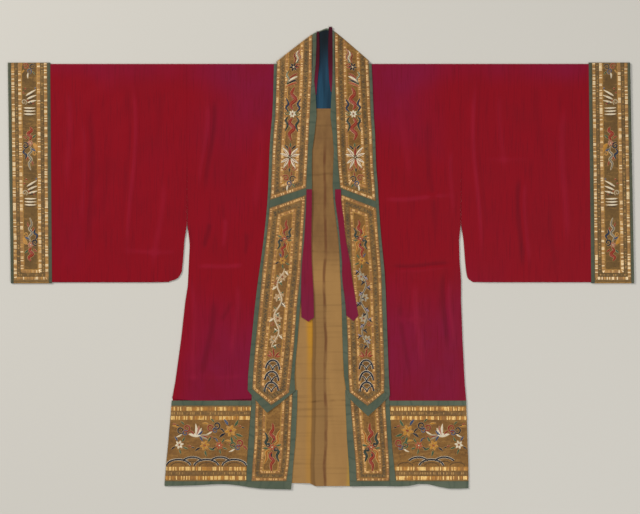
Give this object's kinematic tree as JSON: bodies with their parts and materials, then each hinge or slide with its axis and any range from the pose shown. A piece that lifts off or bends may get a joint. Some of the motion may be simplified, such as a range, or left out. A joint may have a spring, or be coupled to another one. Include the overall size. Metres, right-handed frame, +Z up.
{
  "type": "taoist priest vestment",
  "caption": "Wide square-cut priest's robe of crimson silk that opens down the front, with couched gold bands on cuffs, collar and hem, laid flat",
  "frame": {"origin": "centre of the footprint, on the surface that the robe lies on", "axes": "+X across the robe from sleeve to sleeve, +Y from hem to collar, +Z up off the surface, with the open front on top"},
  "size_m": [1.8776, 1.3868, 0.0084],
  "materials": {
    "red_silk": "crimson silk, plain weave with a soft sheen and faint upright streaks",
    "red_ribbon": "crimson silk ribbon, folded and pressed",
    "gold_band": "couched gold thread ground with raised embroidery in coloured silk",
    "green_binding": "grey-green silk binding, narrow and rounded",
    "tan_lining": "tan cotton lining, matt, with stains and press creases",
    "blue_facing": "indigo cotton facing, matt"
  },
  "bodies": {
    "root": {"body_left": "red_silk", "sleeve_left": "red_silk", "cuff_inner_binding_left": "green_binding", "cuff_left": "gold_band", "cuff_outer_binding_left": "green_binding", "collar_upper_left": "gold_band", "collar_upper_outer_binding_left": "green_binding", "collar_upper_inner_binding_left": "green_binding", "collar_joint_binding_left": "green_binding", "collar_lower_left": "gold_band", "collar_lower_outer_binding_left": "green_binding", "collar_lower_inner_binding_left": "green_binding", "collar_lower_point_binding_left": "green_binding", "foot_panel_left": "gold_band", "foot_outer_binding_left": "green_binding", "foot_inner_binding_left": "green_binding", "hem_front_top_binding_left": "green_binding", "hem_front_left": "gold_band", "hem_front_bottom_binding_left": "green_binding", "hem_back_top_binding_left": "green_binding", "hem_back_left": "gold_band", "hem_back_bottom_binding_left": "green_binding", "tie_left": "red_ribbon", "collar_red_facing_left": "red_ribbon", "body_right": "red_silk", "sleeve_right": "red_silk", "cuff_inner_binding_right": "green_binding", "cuff_right": "gold_band", "cuff_outer_binding_right": "green_binding", "collar_upper_right": "gold_band", "collar_upper_outer_binding_right": "green_binding", "collar_upper_inner_binding_right": "green_binding", "collar_joint_binding_right": "green_binding", "collar_lower_right": "gold_band", "collar_lower_outer_binding_right": "green_binding", "collar_lower_inner_binding_right": "green_binding", "collar_lower_point_binding_right": "green_binding", "foot_panel_right": "gold_band", "foot_outer_binding_right": "green_binding", "foot_inner_binding_right": "green_binding", "hem_front_top_binding_right": "green_binding", "hem_front_right": "gold_band", "hem_front_bottom_binding_right": "green_binding", "hem_back_top_binding_right": "green_binding", "hem_back_right": "gold_band", "hem_back_bottom_binding_right": "green_binding", "tie_right": "red_ribbon", "collar_red_facing_right": "red_ribbon", "collar_neck": "gold_band", "collar_neck_binding": "green_binding", "neck_facing": "blue_facing", "lining_back": "tan_lining"}
  },
  "joints": []
}
